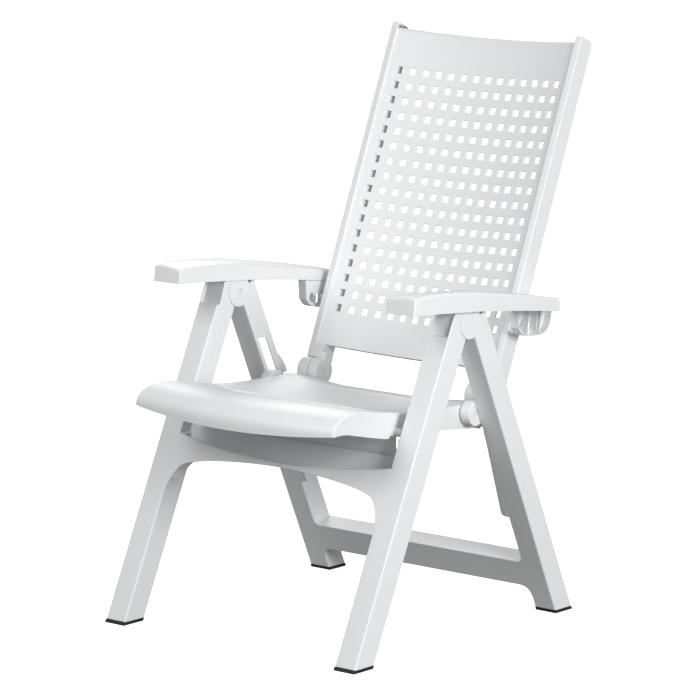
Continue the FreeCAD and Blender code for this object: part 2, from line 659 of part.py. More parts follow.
def ratchet_plate(word, side):
    """Ratchet plate under an armrest, with a row of notches for the back's peg."""
    body = new_part(f"ratchet_plate_{word}")
    outline = [
        ("plate_front", "592.5"), ("plate_front + 2", "plate_low + 22"),
        ("plate_front + 22", "plate_low + 4"), ("plate_front + 60", "plate_low"),
        ("plate_rear - 16", "plate_low + 8"), ("plate_rear", "plate_low + 32"),
        ("plate_rear", "578.4"), ("arm_rear", "583.8"),
    ]
    window = [
        ("plate_front + 6", "580"), ("plate_front + 6", "plate_low + 26"),
        ("plate_front + 24", "plate_low + 9"), ("plate_front + 60", "plate_low + 5"),
        ("plate_rear - 18", "plate_low + 13"), ("plate_rear - 6", "plate_low + 32"),
        ("plate_rear - 6", "574"),
    ]
    notches = []
    first = "plate_front + 12"
    for i in range(int(size("notch_count")) - 1):
        y = f"({first} + {i} * notch_pitch)"
        notches += [(y, "plate_low + 24"), (f"{y} + 3", "plate_low + 32"),
                    (f"{y} + 10", "plate_low + 32"), (f"{y} + 13", "plate_low + 24")]
    track = notches + [
        (f"{first} + (notch_count - 1) * notch_pitch + 8", "plate_low + 24"),
        (f"{first} + (notch_count - 1) * notch_pitch + 4", "plate_low + 14"),
        ("plate_front + 60", "plate_low + 9"),
        ("plate_front + 24", "plate_low + 12"),
        ("plate_front + 12", "plate_low + 18"),
    ]
    side_slab(body, "plate", side, "arm_inner", "arm_inner + plate_flange", [outline])
    side_slab(
        body, "recess", side, "arm_inner + plate_wall", "arm_inner + plate_flange + 1", [window], cut=True
    )
    side_slab(body, "track", side, "arm_inner - 1", "arm_inner + plate_wall + 1", [track], cut=True)
    tab = [
        ("plate_front + 4", "585"), ("arm_rear", "578"), ("plate_rear - 8", "574"),
        ("plate_rear - 8", "590"), ("arm_rear", "596"), ("plate_front + 4", "603"),
    ]
    side_slab(body, "tab", side, "arm_inner + arm_wall", "arm_inner + arm_wall + tab_wall", [tab])
    side_slab(
        body, "screw_bores", side, "arm_inner", "arm_inner + arm_wall + tab_wall + 1",
        circles=[(y, z, "screw_radius") for y, z in SCREW_PLACES], cut=True,
    )
    return body


def ratchet_screws(word, side):
    """Two pan-head screws that hold a ratchet plate's tab to the armrest's inner wall."""
    body = new_part(f"ratchet_screws_{word}")
    head = "arm_inner + arm_wall + tab_wall"
    for i, (y, z) in enumerate(SCREW_PLACES):
        side_slab(body, f"shank_{i}", side, "arm_inner + 1", head, circles=[(y, z, "screw_radius")])
        side_slab(
            body, f"head_{i}", side, head, f"{head} + screw_radius",
            circles=[(y, z, "2 * screw_radius")],
        )
        if i == 0:
            body.AllowCompound = True
    return body


front_leg_frame()
rear_leg_frame()
foot_pads()
pin("leg_pivot_pin", "pivot_y", "pivot_z", "leg_inner + 2", "leg_outer - 2")
pin("arm_pivot_pin", ARM_PIVOT_Y, "arm_pivot_z", "arm_inner + 2", "arm_outer - 2")
pin("seat_pivot_pin", "lug_y", "lug_z", "seat_rear_half - 13", "leg_inner - 1")
pin("back_hinge_pin", "knuckle_y", "knuckle_z", "knuckle_inner + 2", "ear_outer - 1")
pin("ratchet_peg", "ratchet_peg_in - hinge_inset", "ratchet_peg_up", "back_half - 10", "peg_reach", True)
seat_shell()
backrest()
for word, side in SIDES:
    armrest(word, side)
    ratchet_plate(word, side)
    ratchet_screws(word, side)
doc.recompute()

faults = [item.Name for item in doc.Objects if {"Invalid", "Error"} & set(item.State)]
for body in parts:
    shape = body.Shape
    if shape.isNull() or not shape.isValid():
        faults.append(body.Label)
    print(body.Label, len(shape.Solids), shape.BoundBox, round(shape.Volume / 1000))
if faults:
    raise SystemExit(f"these failed: {faults}")
os.makedirs("parts", exist_ok=True)
for body in parts:
    body.Shape.exportStep(f"parts/{body.Label}.step")
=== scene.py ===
"""Folding multi-position garden armchair in white moulded plastic.

Sizes are millimetres: x across the chair, y back from the front feet, z up. place() turns them into
the row frame. The leg frames are drawn in front view at true height and then lean along their legs,
and the back is drawn upright about its hinge and then leans with the back.
"""

import json
import math

import bmesh
import bpy
from mathutils import Matrix, Vector


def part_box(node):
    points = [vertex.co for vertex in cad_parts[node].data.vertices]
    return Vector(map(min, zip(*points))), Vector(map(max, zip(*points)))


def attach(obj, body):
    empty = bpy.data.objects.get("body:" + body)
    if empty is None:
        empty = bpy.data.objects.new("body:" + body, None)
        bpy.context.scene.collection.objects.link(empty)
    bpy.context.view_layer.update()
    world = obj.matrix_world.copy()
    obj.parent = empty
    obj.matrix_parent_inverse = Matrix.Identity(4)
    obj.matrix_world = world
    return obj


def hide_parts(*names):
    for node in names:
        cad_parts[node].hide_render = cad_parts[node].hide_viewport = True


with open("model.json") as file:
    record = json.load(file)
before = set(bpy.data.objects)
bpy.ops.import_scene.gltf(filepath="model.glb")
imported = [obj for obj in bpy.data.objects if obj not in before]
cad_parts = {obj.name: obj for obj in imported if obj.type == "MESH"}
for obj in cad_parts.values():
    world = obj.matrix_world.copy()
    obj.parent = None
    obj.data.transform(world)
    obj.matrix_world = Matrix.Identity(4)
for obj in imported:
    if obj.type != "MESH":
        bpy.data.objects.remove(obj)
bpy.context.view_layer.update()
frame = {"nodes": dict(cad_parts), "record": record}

MM = 0.001
SIDES = (("left", -1), ("right", 1))
JOINTS = {joint["name"]: joint for joint in frame["record"]["behaviour"]["joints"]}


def side_spot(joint):
    """A joint's place in side view, in millimetres behind the front feet and above the floor."""
    _, y, z = JOINTS[joint]["pos_m"]
    return (y - FEET_FRONT) / MM, z / MM


FEET_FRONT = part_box("front_foot_pad_right")[0].y
LEG_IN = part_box("front_foot_pad_right")[0].x / MM
LEG_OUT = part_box("front_foot_pad_right")[1].x / MM
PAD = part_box("front_foot_pad_right")[1].z / MM
PIVOT = side_spot("leg_fold")
LUG = side_spot("seat_fold")
HINGE = side_spot("back_recline")
ARM_PIVOT = side_spot("arm_lift_right")
ARM_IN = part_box("armrest_right")[0].x / MM
ARM_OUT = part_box("armrest_right")[1].x / MM

FRONT_SLOPE = 0.468
FRONT_DEPTH = 53.6
REAR_FOOT = 596.6
REAR_SLOPE = 0.444
REAR_DEPTH = 50.0
WALL = 4.0
CHEEK = 12.0
CHEEK_RADIUS = 30.0
CHEEK_ROOM = CHEEK_RADIUS + 0.8
TONGUE_RADIUS = CHEEK_RADIUS - 1.2
TONGUE_GAP = 0.5
PIN_BORE = 6.0
LOOSE_BORE = 6.05
CUT_PAST = 2.0
REST_PEG = (207.0, 385.0)
SEAT_REST = (207.0, 401.4)
REST_RADIUS = 8.0
KNUCKLE_RADIUS = 25.0
RIB_HALF = 1.3
RIB_EDGE = 0.5
BACK_LEAN = math.radians(22.67)


def place(x, y, z):
    """Millimetres behind the front feet to metres in the row frame."""
    return Vector((x * MM, FEET_FRONT + y * MM, z * MM))


def front_face(z):
    return FRONT_SLOPE * z


def rear_face(z):
    return REAR_FOOT - REAR_SLOPE * z


def rear_back(z):
    return rear_face(z) + REAR_DEPTH


def back_place(u, w, v):
    """A point of the upright back: across, behind the hinge, above the hinge."""
    y = HINGE[0] + w * math.cos(BACK_LEAN) + v * math.sin(BACK_LEAN)
    z = HINGE[1] - w * math.sin(BACK_LEAN) + v * math.cos(BACK_LEAN)
    return place(u, y, z)


# ---------------------------------------------------------------- curves

def smooth_line(points, steps=6):
    """Catmull-Rom curve through points of any dimension."""
    out = []
    last = len(points) - 1
    for i in range(last):
        a, b = points[max(i - 1, 0)], points[i]
        c, d = points[i + 1], points[min(i + 2, last)]
        for k in range(steps):
            t = k / steps
            out.append(tuple(
                0.5 * (2 * q + (r - p) * t + (2 * p - 5 * q + 4 * r - s) * t**2
                       + (3 * q - p - 3 * r + s) * t**3)
                for p, q, r, s in zip(a, b, c, d)
            ))
    return out + [tuple(points[-1])]


def arc(centre, radius, start, end, steps=10):
    """Points on an arc between two angles in degrees."""
    out = []
    for k in range(steps + 1):
        t = math.radians(start + (end - start) * k / steps)
        out.append((centre[0] + radius * math.cos(t), centre[1] + radius * math.sin(t)))
    return out


def circle(centre, radius, steps=48):
    return arc(centre, radius, 0, 360 * (steps - 1) / steps, steps - 1)


def rectangle(a_low, a_high, b_low, b_high):
    return [(a_low, b_low), (a_high, b_low), (a_high, b_high), (a_low, b_high)]


def height_at(line, y):
    """Straight interpolation of a (y, z) line."""
    if y <= line[0][0]:
        return line[0][1]
    for (a, za), (b, zb) in zip(line, line[1:]):
        if y <= b:
            return za + (zb - za) * (y - a) / (b - a)
    return line[-1][1]


def ease(t):
    t = min(max(t, 0.0), 1.0)
    return t * t * (3 - 2 * t)


# ---------------------------------------------------------------- meshes

def solid(verts, faces):
    """A bare object from points in metres, with its faces turned outward."""
    mesh = bpy.data.meshes.new("solid")
    mesh.from_pydata([tuple(v) for v in verts], [], faces)
    obj = bpy.data.objects.new("solid", mesh)
    bpy.context.scene.collection.objects.link(obj)
    bm = bmesh.new()
    bm.from_mesh(mesh)
    bmesh.ops.recalc_face_normals(bm, faces=bm.faces)
    bm.to_mesh(mesh)
    bm.free()
    return obj


def prism(outline, to_point, low, high):
    """A closed outline carried from low to high; to_point(a, b, depth) gives metres."""
    n = len(outline)
    verts = [to_point(a, b, depth) for depth in (low, high) for a, b in outline]
    faces = [list(range(n)), list(range(2 * n - 1, n - 1, -1))]
    faces += [[i, (i + 1) % n, (i + 1) % n + n, i + n] for i in range(n)]
    return solid(verts, faces)


def loft_faces(rows, n):
    """Faces of a closed section of n points carried through rows, with both ends capped."""
    last = rows * n - 1
    faces = [list(range(n)), list(range(last, last - n, -1))]
    for s in range(rows - 1):
        for k in range(n):
            a, b = s * n + k, s * n + (k + 1) % n
            faces.append([a, b, b + n, a + n])
    return faces


def side_prism(outline, x_low, x_high):
    """Side-view outline (y, z) between two distances across."""
    return prism(outline, lambda y, z, x: place(x, y, z), x_low, x_high)


def across_prism(outline, y_low, y_high):
    """Upright front-view outline (x, z) between two distances behind the front feet."""
    return prism(outline, lambda x, z, y: place(x, y, z), y_low, y_high)


def front_prism(outline, low, high):
    """Front-view outline (x, z) that leans with the front legs."""
    return prism(outline, lambda x, z, d: place(x, front_face(z) + d, z), low, high)


def rear_prism(outline, low, high):
    """Front-view outline (x, z) that leans with the rear legs."""
    return prism(outline, lambda x, z, d: place(x, rear_face(z) + d, z), low, high)


def back_prism(outline, u_low, u_high):
    """Side-view outline (w, v) of the upright back between two distances across."""
    return prism(outline, lambda w, v, u: back_place(u, w, v), u_low, u_high)


def bake(obj):
    """Apply the object's modifiers to its mesh."""
    graph = bpy.context.evaluated_depsgraph_get()
    mesh = bpy.data.meshes.new_from_object(obj.evaluated_get(graph))
    obj.modifiers.clear()
    obj.data = mesh


def cut(obj, tools, operation="DIFFERENCE"):
    """Boolean with each tool in turn; the tools are used up."""
    for tool in tools:
        change = obj.modifiers.new("cut", "BOOLEAN")
        change.operation = operation
        change.solver = "EXACT"
        change.object = tool
        bake(obj)
        bpy.data.objects.remove(tool)
    return obj


def fuse(obj, tools):
    return cut(obj, tools, "UNION")


def divide(obj, across, heights):
    """Split the faces at planes across the chair and at heights, so that none is very irregular."""
    bm = bmesh.new()
    bm.from_mesh(obj.data)
    bmesh.ops.remove_doubles(bm, verts=bm.verts, dist=0.00003)
    bmesh.ops.dissolve_limit(bm, angle_limit=math.radians(0.4), verts=bm.verts, edges=bm.edges)
    planes = [(place(x, 0, 0), (1, 0, 0)) for x in across] + [(place(0, 0, z), (0, 0, 1)) for z in heights]
    for spot, normal in planes:
        bmesh.ops.bisect_plane(
            bm, geom=bm.verts[:] + bm.edges[:] + bm.faces[:], plane_co=spot, plane_no=normal, dist=1e-6)
    bm.to_mesh(obj.data)
    bm.free()


def mirrored(make):
    """The same solid on both sides: make(side) is called for -1 and 1."""
    return [make(side) for _, side in SIDES]


def span(side, low, high):
    """Two distances from the middle, as x on one side, lowest first."""
    return (low, high) if side > 0 else (-high, -low)


def soften(obj, radius, rule=None, limit=32, segments=3):
    """Round the sharp edges; rule(middle, direction) may give another radius in millimetres."""
    bm = bmesh.new()
    bm.from_mesh(obj.data)
    bmesh.ops.remove_doubles(bm, verts=bm.verts, dist=0.00003)
    weight = bm.edges.layers.float.new("bevel_weight_edge")
    largest = radius
    for edge in bm.edges:
        if len(edge.link_faces) == 2 and edge.calc_face_angle(0) > math.radians(limit):
            a, b = (v.co for v in edge.verts)
            wanted = rule((a + b) / 2 / MM, (b - a).normalized()) if rule else radius
            edge[weight] = wanted
            largest = max(largest, wanted)
    for edge in bm.edges:
        edge[weight] /= largest
    bm.to_mesh(obj.data)
    bm.free()
    bevel = obj.modifiers.new("bevel", "BEVEL")
    bevel.limit_method = "WEIGHT"
    bevel.width = largest * MM
    bevel.segments = segments
    bevel.use_clamp_overlap = False
    bake(obj)
    return smooth_shade(obj)


def soften_thin(obj, radius=RIB_EDGE):
    """Small edge radius for ribs and other thin parts."""
    return soften(obj, radius, segments=2)


def smooth_shade(obj, angle=50):
    """Smooth shading that keeps large faces flat and edges sharper than angle crisp."""
    obj.data.polygons.foreach_set("use_smooth", [True] * len(obj.data.polygons))
    obj.data.set_sharp_from_angle(angle=math.radians(angle))
    weighted = obj.modifiers.new("weighted", "WEIGHTED_NORMAL")
    weighted.keep_sharp = True
    bake(obj)
    return obj


def join(name, pieces):
    """One mesh object from several solids."""
    first = pieces[0]
    if len(pieces) > 1:
        with bpy.context.temp_override(
            active_object=first, selected_editable_objects=pieces, object=first
        ):
            bpy.ops.object.join()
    first.name = name
    first.data.name = name
    return first


def finish_piece(name, pieces, material, body, nodes=()):
    """Name a joined piece, paint it, put it on its body and let it stand for CAD nodes."""
    obj = join(name, pieces)
    obj.data.materials.clear()
    obj.data.materials.append(material)
    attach(obj, body)
    if nodes:
        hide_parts(*nodes)
    return obj


# ---------------------------------------------------------------- materials

def plastic(name, colour, roughness, grain=0.10):
    """Satin moulded plastic: faint flow marks in the colour, fine texture and slightly uneven gloss."""
    material = bpy.data.materials.new(name)
    material.use_nodes = True
    nodes, links = material.node_tree.nodes, material.node_tree.links
    shader = nodes["Principled BSDF"]
    coords = nodes.new("ShaderNodeTexCoord")
    flow = nodes.new("ShaderNodeTexNoise")
    flow.inputs["Scale"].default_value = 7.0
    flow.inputs["Detail"].default_value = 3.0
    links.new(coords.outputs["Object"], flow.inputs["Vector"])
    tint = nodes.new("ShaderNodeMix")
    tint.data_type = "RGBA"
    tint.inputs["A"].default_value = (*[c * 0.965 for c in colour], 1)
    tint.inputs["B"].default_value = (*colour, 1)
    links.new(flow.outputs["Fac"], tint.inputs["Factor"])
    links.new(tint.outputs["Result"], shader.inputs["Base Color"])
    texture = nodes.new("ShaderNodeTexNoise")
    texture.inputs["Scale"].default_value = 1400.0
    texture.inputs["Detail"].default_value = 2.0
    links.new(coords.outputs["Object"], texture.inputs["Vector"])
    gloss = nodes.new("ShaderNodeMapRange")
    gloss.inputs["To Min"].default_value = roughness - 0.05
    gloss.inputs["To Max"].default_value = roughness + 0.05
    links.new(flow.outputs["Fac"], gloss.inputs["Value"])
    links.new(gloss.outputs["Result"], shader.inputs["Roughness"])
    bump = nodes.new("ShaderNodeBump")
    bump.inputs["Strength"].default_value = grain
    bump.inputs["Distance"].default_value = 0.0002
    links.new(texture.outputs["Fac"], bump.inputs["Height"])
    links.new(bump.outputs["Normal"], shader.inputs["Normal"])
    return material


def rubber(name):
    """Black foot rubber with a coarse matt grain."""
    return plastic(name, (0.012, 0.012, 0.013), 0.62, 0.3)


def screw_metal(name):
    """Plated screw steel with a fine noise grain."""
    material = plastic(name, (0.55, 0.55, 0.56), 0.3, 0.05)
    material.node_tree.nodes["Principled BSDF"].inputs["Metallic"].default_value = 1.0
    return material


WHITE = plastic("white_plastic", (0.83, 0.835, 0.84), 0.42)
PIN = plastic("pin_plastic", (0.76, 0.765, 0.77), 0.4)
RUBBER = rubber("foot_rubber")
STEEL = screw_metal("screw_steel")


# ---------------------------------------------------------------- front legs

APRON_LINE = ((258, 236), (256, 250), (250, 266), (240, 281), (222, 294), (165, 304.5), (85, 311.5))
APRON_MIDDLE = (0, 314)
APRON_DEPTH = 34.0
APRON_TOP = (322.0, 344.0)
PANEL_BACK = 27.0
PANEL_LOW_EDGE = 316.0
PANEL_TOP = 358.0
LEG_TOP = 606.0
NOTCH = (576.0, 614.0)
APRON_ON_LEG = 3  # points of APRON_LINE that run down the leg
BEHIND_APRON = (200.0, 420.0)
TROUGH_LOW = 262.0
FRONT_HOLLOW_TOP = 530.0
LEG_TOP_RADIUS = 17.0
FRONT_RIBS = [70 + 58 * k for k in range(8)]
APRON_SPLITS = (-215, -160, -80, 0, 80, 160, 215)
FRONT_LEG_SPLITS = (200, 232, 365, PIVOT[1])


def apron_arch(shift=0.0):
    """Underside of the apron from the right leg to the left one, raised by shift."""
    right = [(x - (shift if i < APRON_ON_LEG else 0), z + (0 if i < APRON_ON_LEG else shift))
             for i, (x, z) in enumerate(APRON_LINE)]
    middle = (APRON_MIDDLE[0], APRON_MIDDLE[1] + shift)
    whole = right + [middle] + [(-x, z) for x, z in reversed(right)]
    return smooth_line(whole, 5)


def apron_crown(steps=24):
    """Upper edge of the apron's front wall, from the left leg to the right one."""
    low, high = APRON_TOP
    out = []
    for k in range(steps + 1):
        x = -LEG_IN + 2 * LEG_IN * k / steps
        out.append((x, low + (high - low) * (x / LEG_IN) ** 2))
    return out


def leg_channel(side, make, low, high, face_wall, depth):
    """The hollow of a leg channel, open at the back."""
    x_low, x_high = span(side, LEG_IN + WALL, LEG_OUT - WALL)
    return make(rectangle(x_low, x_high, low, high), face_wall, depth + 5)


def leg_top(side):
    """Rounded top of a front leg, inside the armrest."""
    low = LEG_TOP - 22
    y, z = ARM_PIVOT
    outline = [(front_face(low), low), (front_face(LEG_TOP + 6), LEG_TOP + 6), (y - LEG_TOP_RADIUS, z)]
    outline += arc((y, z), LEG_TOP_RADIUS, 180, 0, 16)
    outline += [(front_face(low) + FRONT_DEPTH, low)]
    return side_prism(outline[::-1], *span(side, LEG_IN, LEG_OUT))


def leg_ribs(side, make, heights, low_depth, depth):
    """Cross ribs inside a leg channel."""
    out = []
    for z in heights:
        x_low, x_high = span(side, LEG_IN + WALL - 0.5, LEG_OUT - WALL + 0.5)
        outline = rectangle(x_low, x_high, z - RIB_HALF, z + RIB_HALF)
        out.append(make(outline, low_depth, depth))
    return out


def front_legs():
    outline = [(LEG_OUT, PAD), (LEG_OUT, LEG_TOP), (LEG_IN, LEG_TOP)]
    outline += apron_crown()[::-1]
    outline += [(-LEG_IN, LEG_TOP), (-LEG_OUT, LEG_TOP), (-LEG_OUT, PAD), (-LEG_IN, PAD)]
    outline += apron_arch()[::-1]
    outline += [(LEG_IN, PAD)]
    body = front_prism(outline, 0, FRONT_DEPTH)
    open_low, open_high = BEHIND_APRON
    edge = LEG_IN - 6
    trough = [(max(min(x, edge), -edge), z) for x, z in apron_arch(WALL)[::-1] if z > TROUGH_LOW]
    trough = [(-edge, TROUGH_LOW)] + trough
    trough += [(edge, TROUGH_LOW), (edge, open_high), (-edge, open_high)]
    behind_apron = rectangle(-LEG_IN, LEG_IN, open_low, open_high)
    cut(body, [front_prism(behind_apron, APRON_DEPTH, FRONT_DEPTH + 5)])
    cut(body, [front_prism(trough, WALL, FRONT_DEPTH)])
    cut(body, mirrored(lambda s: leg_channel(
        s, front_prism, PAD + 30, FRONT_HOLLOW_TOP, WALL + 1, FRONT_DEPTH)))
    fuse(body, mirrored(leg_top))
    panel = rectangle(-LEG_IN - 1, LEG_IN + 1, PANEL_LOW_EDGE, PANEL_TOP)
    fuse(body, [front_prism(panel, PANEL_BACK, PANEL_BACK + WALL)])
    # the front wall is set back under the armrest
    for _, side in SIDES:
        wedge = [(front_face(NOTCH[0]) - 6, NOTCH[0]), (front_face(NOTCH[0]) + 7, NOTCH[0]),
                 (front_face(NOTCH[1]) + 3, NOTCH[1]), (front_face(NOTCH[1]) - 6, NOTCH[1])]
        cut(body, [side_prism(wedge, *span(side, LEG_IN - 5, LEG_OUT - WALL))])
    # pockets for the rear legs' hinge cheeks, which leave a tongue between them
    tongue_in, tongue_out = LEG_IN + CHEEK + TONGUE_GAP, LEG_OUT - CHEEK - TONGUE_GAP
    pocket, tongue = circle(PIVOT, CHEEK_ROOM), circle(PIVOT, TONGUE_RADIUS)
    for low, high in ((LEG_IN - CUT_PAST, tongue_in), (tongue_out, LEG_OUT + CUT_PAST)):
        cut(body, mirrored(lambda s: side_prism(pocket, *span(s, low, high))))
    fuse(body, mirrored(lambda s: side_prism(tongue, *span(s, tongue_in, tongue_out))))
    for centre in (PIVOT, ARM_PIVOT):
        bore = circle(centre, PIN_BORE, 32)
        cut(body, mirrored(lambda s: side_prism(bore, *span(s, LEG_IN - CUT_PAST, LEG_OUT + CUT_PAST))))

    def rule(middle, direction):
        depth = middle.y - FEET_FRONT / MM - front_face(middle.z)
        if abs(depth) > 0.5:
            return 0.7
        if abs(middle.x) > LEG_OUT - 1:
            return 3.0
        if middle.z > NOTCH[0] - 1:
            return 0.7
        return 2.0 if abs(direction.x) > 0.9 else 3.0

    divide(body, APRON_SPLITS, FRONT_LEG_SPLITS)
    soften(body, 3.0, rule)
    ribs = []
    for _, side in SIDES:
        ribs += leg_ribs(side, front_prism, FRONT_RIBS, WALL, FRONT_DEPTH - 6)
    for piece in ribs:
        soften_thin(piece)
    pegs = mirrored(lambda s: soften(
        side_prism(circle(REST_PEG, REST_RADIUS, 32), *span(s, LEG_IN - 14, LEG_IN + 1)), 1.2))
    finish_piece("front_leg_frame_skin", [body] + ribs + pegs, WHITE, "front_frame",
                 ["front_leg_frame"])


# ---------------------------------------------------------------- rear legs

BAR_LOW = 49.0
BAR_HIGH = 100.0
BAR_REAR = 112.0
REAR_RIBS = [150 + 62 * k for k in range(5)]
BAR_RIBS = (-200, -100, 0, 100, 200)
REAR_LEG_SPLITS = (130, 300, LUG[1], PIVOT[1])
SLOT_HEIGHTS = (420.0, 495.0)
SLOT_DEPTHS = (10.0, 33.0)
LUG_RADIUS = 24.0
LUG_IN = 236.0
FLANGE = ((258, 372), (255.5, 340), (251.5, 302), (246, 250), (241, 203))


def rear_side_outline():
    """Side view of a rear leg: a slanted bar whose front edge ends in the round hinge cheek."""
    slant = math.degrees(math.atan(REAR_SLOPE))
    reach = REAR_DEPTH * math.cos(math.radians(slant))
    shoulder = (PIVOT[0] + reach * math.cos(math.radians(slant)),
                PIVOT[1] + reach * math.sin(math.radians(slant)))
    outline = [(rear_back(PAD), PAD), shoulder]
    outline += arc(PIVOT, CHEEK_RADIUS, slant, 270 + slant, 40)
    return outline + [(rear_face(PAD), PAD)]


def crossbar():
    """The bar between the rear legs: front wall, sloping top and rear wall, open below."""
    outer = [(rear_face(BAR_LOW), BAR_LOW), (rear_back(BAR_LOW), BAR_LOW),
             (rear_back(BAR_REAR), BAR_REAR), (rear_face(BAR_HIGH), BAR_HIGH)]
    inner = [(rear_face(0) + WALL, 0), (rear_back(0) - WALL, 0),
             (rear_back(BAR_REAR - WALL) - WALL, BAR_REAR - WALL),
             (rear_face(BAR_HIGH - WALL) + WALL, BAR_HIGH - WALL)]
    bar = side_prism(outer, -LEG_IN - 2, LEG_IN + 2)
    cut(bar, [side_prism(inner, -LEG_IN + 3, LEG_IN - 3)])
    return soften(bar, 1.2)


def corner_fillet(side, z, radius, upward):
    """Hollow corner between a rear leg and the crossbar, in the front wall."""
    way = 1 if upward else -1
    outline = [(LEG_IN + 1, z - way), (LEG_IN + 1, z + way * radius)]
    outline += [(LEG_IN - radius + radius * math.cos(t), z + way * radius * (1 - math.sin(t)))
                for t in (math.pi / 2 * k / 8 for k in range(9))]
    outline += [(LEG_IN - radius, z - way)]
    return rear_prism([(side * x, v) for x, v in outline], 0.2, WALL)


def rear_legs():
    body, other = mirrored(lambda s: side_prism(rear_side_outline(), *span(s, LEG_IN, LEG_OUT)))
    body = join("rear_legs", [body, other])
    cut(body, mirrored(lambda s: leg_channel(s, rear_prism, BAR_HIGH + 14, PIVOT[1] - 54, WALL, REAR_DEPTH)))
    # a slot between two cheeks takes the front leg's tongue
    y, z = PIVOT
    reach, fall = 60, 50
    corner = [PIVOT, (y + reach, z + reach * REAR_SLOPE), (y + reach, z + reach), (y - reach, z + reach),
              (y - reach, z - fall), (y + fall * REAR_SLOPE, z - fall)]
    for room in (circle(PIVOT, CHEEK_ROOM, 64), corner):
        cut(body, mirrored(lambda s: side_prism(room, *span(s, LEG_IN + CHEEK, LEG_OUT - CHEEK))))
    bore = circle(PIVOT, LOOSE_BORE, 32)
    cut(body, mirrored(lambda s: side_prism(bore, *span(s, LEG_IN - CUT_PAST, LEG_OUT + CUT_PAST))))
    # slot in each inner wall behind the seat pivot
    low, high = SLOT_HEIGHTS
    near, far = SLOT_DEPTHS
    slot_outline = [(rear_face(low) + near, low), (rear_face(low) + far, low),
                    (rear_face(high) + far, high), (rear_face(high) + near, high)]
    cut(body, mirrored(lambda s: side_prism(slot_outline, *span(s, LEG_IN - 3, LEG_IN + WALL + 1))))

    def rule(middle, direction):
        depth = middle.y - FEET_FRONT / MM - rear_face(middle.z)
        if abs(depth) < 0.5 and middle.z < 560:
            return 2.6 if abs(abs(middle.x) - LEG_OUT) < 1 else 1.6
        return 0.7

    divide(body, (), REAR_LEG_SPLITS)
    soften(body, 2.6, rule)
    ribs = []
    for _, side in SIDES:
        ribs += leg_ribs(side, rear_prism, REAR_RIBS, WALL - 1, REAR_DEPTH - 8)
    for x in BAR_RIBS:
        outline = rectangle(x - RIB_HALF, x + RIB_HALF, BAR_LOW + 6, BAR_HIGH - WALL + 1)
        ribs.append(rear_prism(outline, WALL - 1, REAR_DEPTH - WALL + 1))
    for piece in ribs:
        soften_thin(piece)
    lugs = []
    for _, side in SIDES:
        disc = side_prism(circle(LUG, LUG_RADIUS, 64), *span(side, LUG_IN, LEG_IN - 0.5))
        cut(disc, [side_prism(circle(LUG, PIN_BORE, 32), *span(side, LUG_IN - 6, LEG_IN + 3))])
        lugs.append(soften(disc, 1.6))
        root = [(rear_face(388) + 2, 388), (LUG[0] + 20, 394), (LUG[0] + 20, 422),
                (rear_face(428) + 2, 428)]
        lugs.append(soften(side_prism(root, *span(side, LEG_IN - 8, LEG_IN + 1)), 1.0))
    caps = mirrored(lambda s: soften_thin(
        side_prism(circle(PIVOT, 7.5, 40), *span(s, LEG_OUT - 1, LEG_OUT + 0.4)), 0.3))
    flanges = []
    for _, side in SIDES:
        edge = [(side * x, z) for x, z in smooth_line(FLANGE, 3)]
        edge += [(side * 241.5, 199), (side * 244, 196), (side * 248, 195), (side * (LEG_IN + 1), 194),
                 (side * (LEG_IN + 1), 374)]
        flanges.append(soften(rear_prism(edge, 0, WALL), 1.2))
    for _, side in SIDES:
        flanges.append(corner_fillet(side, BAR_LOW, 20.0, False))
        flanges.append(corner_fillet(side, BAR_HIGH, 11.0, True))
    hooks = []
    for _, side in SIDES:
        hook = [(rear_back(419) - 4, 419)]
        hook += smooth_line([(rear_back(421) + 12, 418), (rear_back(430) + 13, 428),
                             (rear_back(444) + 9, 444), (rear_back(456) + 2, 457)], 4)
        hook += [(rear_back(450) + 1, 447), (rear_back(436) - 1, 432)]
        hooks.append(soften(side_prism(hook, *span(side, LEG_IN, LEG_IN + 7)), 1.0))
    pieces = [body, crossbar()] + ribs + lugs + flanges + hooks + caps
    finish_piece("rear_leg_frame_skin", pieces, WHITE, "rear_frame",
                 ["rear_leg_frame"])


# ---------------------------------------------------------------- seat

SEAT_HALF = 241.0
SEAT_REAR_HALF = 234.0
SEAT_WALL = 4.0
RIM_ROLL = 3.0
RIM_FLANGE = 5.0
# side profile of the seat: along its rim, and along its middle
RIM = ((20, 421), (21.5, 430), (28, 440), (45, 450), (71, 456), (105, 456), (148, 447), (185, 441.5),
       (232, 433), (310, 426), (395, 423.5), (417, 423.8), (440, 423), (468, 418), (484, 411), (491, 403))
MIDDLE = ((0, 408), (0.5, 424), (6, 437), (22, 449), (50, 456), (90, 456), (128, 449), (170, 434),
          (215, 422), (300, 413.5), (400, 413.5), (417, 416.5), (440, 415), (470, 409), (488, 402),
          (493, 396))
FLAT_ROWS = 5
DISH_FROM = 95.0
DISH_TO = 228.0
EAR = (207.0, 232.0)
SEAT_CROSS_RIB = (205, 209, 353, 434)
SEAT_RIBS_ALONG = (-168, -112, -56, 0, 56, 112, 168)
SEAT_RIBS_ACROSS = (120, 290, 370, 440)
SEAT_RIB_HALF = 1.4
SEAT_RIB_TOP = 3.0  # below the top face, inside the sheet


def seat_rows():
    """Pairs of rim and middle points down the seat, with the row's share of dish."""
    pairs = [(*rim, *middle, min(max((i - FLAT_ROWS + 1) / 3, 0), 1))
             for i, (rim, middle) in enumerate(zip(RIM, MIDDLE))]
    return smooth_line(pairs, 5)


